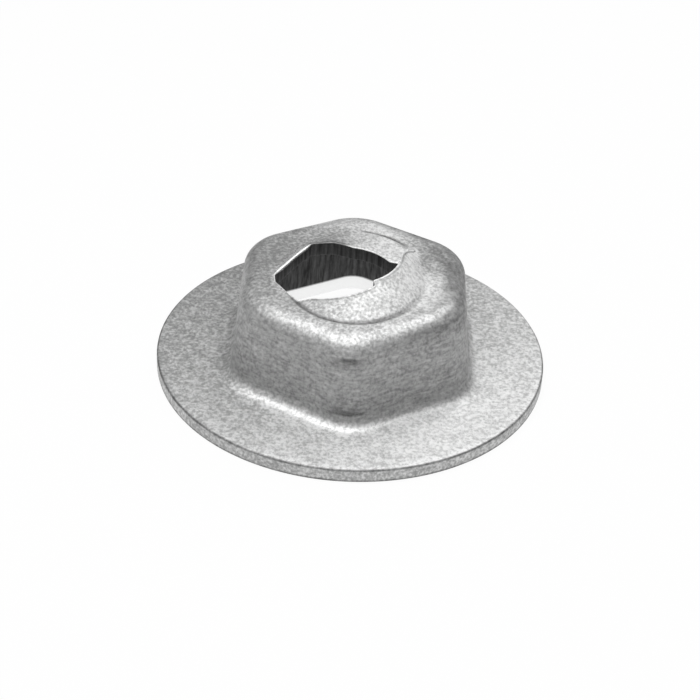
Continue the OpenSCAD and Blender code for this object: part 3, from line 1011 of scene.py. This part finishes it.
def floor_material(setting):
    """A matt floor that the camera and the metal see as nearly white, with the nut's shadow left in it."""
    material, make = new_material("studio_floor")
    path = make.add("ShaderNodeLightPath").outputs
    seen = make.math("MAXIMUM", path["Is Camera Ray"], path["Is Glossy Ray"])
    seen = make.math("MAXIMUM", seen, path["Is Transmission Ray"])
    factor = make.math("MULTIPLY", seen, setting.whiteness)
    matt = make.add("ShaderNodeBsdfDiffuse", {"Color": opaque(setting.floor_colour)}).outputs[0]
    white = make.add("ShaderNodeEmission", {"Strength": 1.0}).outputs[0]
    shader = make.add("ShaderNodeMixShader", {0: factor, 1: matt, 2: white})
    make.add("ShaderNodeOutputMaterial", {"Surface": shader.outputs[0]})
    return material


class NUT_OT_make_nut(bpy.types.Operator):
    """Make the nut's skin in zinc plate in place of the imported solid."""

    bl_idname = "nut.make_nut"
    bl_label = "Make nut"

    def execute(self, context):
        sizes = context.scene.nut_sizes
        section = nut_section(sizes, context.scene.nut_marks)
        grid = section.grid()
        waves = section.look(WAVES)[..., None] * sizes.wave
        grid = grid + grid_normals(grid) * waves * pressed_waves(grid)[..., None]
        mesh = closed_grid_mesh("nut_skin", grid, {name: section.look(name) for name in LOOKS})
        mesh.materials.append(zinc_material(context.scene.nut_finish))
        nut = bpy.data.objects.new("nut_skin", mesh)
        context.scene.collection.objects.link(nut)
        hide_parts(NODE)
        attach(nut, "root")
        return {"FINISHED"}


def soft_light(name, side, radiance, place):
    """A square soft light of even radiance, facing the seat's centre."""
    data = bpy.data.lights.new(name, "AREA")
    data.shape = "SQUARE"
    data.size = side
    data.energy = radiance * math.pi * side ** 2
    light = bpy.data.objects.new(name, data)
    light.location = place
    light.rotation_euler = (-place).to_track_quat("-Z", "Y").to_euler()
    bpy.context.scene.collection.objects.link(light)


def sky_place(distance, turn, elevation):
    """A point at a distance from the seat's centre, by its turn from +X and its height over the horizon."""
    flat = math.cos(elevation)
    return distance * Vector((flat * math.cos(turn), flat * math.sin(turn), math.sin(elevation)))


class NUT_OT_make_stage(bpy.types.Operator):
    """Make the floor, the lights and the camera."""

    bl_idname = "nut.make_stage"
    bl_label = "Make stage"

    def execute(self, context):
        setting = context.scene.nut_studio
        self.make_floor(context, setting)
        self.make_sky(context, setting)
        for name in ("top", "front", "back"):
            size, strength, turn, elevation = (
                getattr(setting, f"{name}_{key}") for key in ("size", "strength", "turn", "elevation")
            )
            soft_light(f"{name}_lamp", size, strength, sky_place(setting.lamp_distance, turn, elevation))
        self.make_camera(context, setting)
        context.scene.view_settings.view_transform = "Standard"
        return {"FINISHED"}

    def make_floor(self, context, setting):
        """A flat disc under the seat that rises all round in a quarter circle."""
        turn = np.linspace(0, TURN, COVE_COLUMNS, endpoint=False)
        rise = np.linspace(0, TURN / 4, COVE_RINGS)
        reach = setting.floor_r + setting.cove_r * np.sin(rise)
        height = setting.cove_r * (1 - np.cos(rise)) - setting.floor_gap
        flat = plan(reach[:, None], turn)
        tall = np.broadcast_to(height[:, None, None], (COVE_RINGS, COVE_COLUMNS, 1))
        index = np.arange(COVE_RINGS * COVE_COLUMNS).reshape(COVE_RINGS, COVE_COLUMNS)
        around = np.roll(index, -1, axis=1)
        quads = np.stack([index[:-1], around[:-1], around[1:], index[1:]], axis=-1).reshape(-1, 4)
        mesh = bpy.data.meshes.new("studio_floor")
        mesh.from_pydata(
            np.concatenate([flat, tall], axis=-1).reshape(-1, 3).tolist(),
            [],
            [index[0].tolist(), *quads.tolist()],
        )
        mesh.materials.append(floor_material(setting))
        floor = bpy.data.objects.new("studio_floor", mesh)
        context.scene.collection.objects.link(floor)

    def make_sky(self, context, setting):
        """Even light from all round."""
        world = bpy.data.worlds.new("studio_sky")
        world.use_nodes = True
        world.node_tree.nodes.clear()
        make = NodeMaker(world.node_tree)
        sky = make.add("ShaderNodeBackground", {"Color": (1, 1, 1, 1), "Strength": setting.sky})
        make.add("ShaderNodeOutputWorld", {"Surface": sky.outputs[0]})
        context.scene.world = world

    def make_camera(self, context, setting):
        """A camera that looks at the seat's centre."""
        data = bpy.data.cameras.new("camera")
        data.sensor_width = SENSOR_WIDTH
        data.lens = setting.camera_lens
        data.shift_y = setting.camera_shift
        data.clip_start = CLIP_NEAR
        data.clip_end = CLIP_FAR
        camera = bpy.data.objects.new("camera", data)
        place = sky_place(setting.camera_distance, -TURN / 4, setting.camera_elevation)
        facing = (-place).to_track_quat("-Z", "Y").to_matrix().to_4x4()
        roll = Matrix.Rotation(setting.camera_roll, 4, "Z")
        camera.matrix_world = Matrix.Translation(place) @ facing @ roll
        context.scene.collection.objects.link(camera)
        context.scene.camera = camera


class NUT_PT_sidebar(bpy.types.Panel):
    """Lists the nut's sizes, finish and studio."""

    bl_label = "Thread cutting nut"
    bl_space_type = "VIEW_3D"
    bl_region_type = "UI"
    bl_category = "Nut"

    def draw(self, context):
        scene = context.scene
        for operator, group in (
            (NUT_OT_make_nut.bl_idname, scene.nut_sizes),
            (None, scene.nut_finish),
            (None, scene.nut_marks),
            (NUT_OT_make_stage.bl_idname, scene.nut_studio),
        ):
            box = self.layout.box()
            if operator:
                box.operator(operator)
            for name in group.__annotations__:
                box.prop(group, name)


GROUPS = {
    "nut_sizes": NutSizes,
    "nut_finish": ZincFinish,
    "nut_marks": PaintedLightMarks,
    "nut_studio": StudioSetting,
}
CLASSES = (*GROUPS.values(), NUT_OT_make_nut, NUT_OT_make_stage, NUT_PT_sidebar)


def register():
    for cls in CLASSES:
        bpy.utils.register_class(cls)
    for name, group in GROUPS.items():
        setattr(bpy.types.Scene, name, bpy.props.PointerProperty(type=group))


def unregister():
    for name in GROUPS:
        delattr(bpy.types.Scene, name)
    for cls in reversed(CLASSES):
        bpy.utils.unregister_class(cls)


def main():
    register()
    bpy.ops.nut.make_nut()
    bpy.ops.nut.make_stage()


if __name__ == "__main__":
    main()
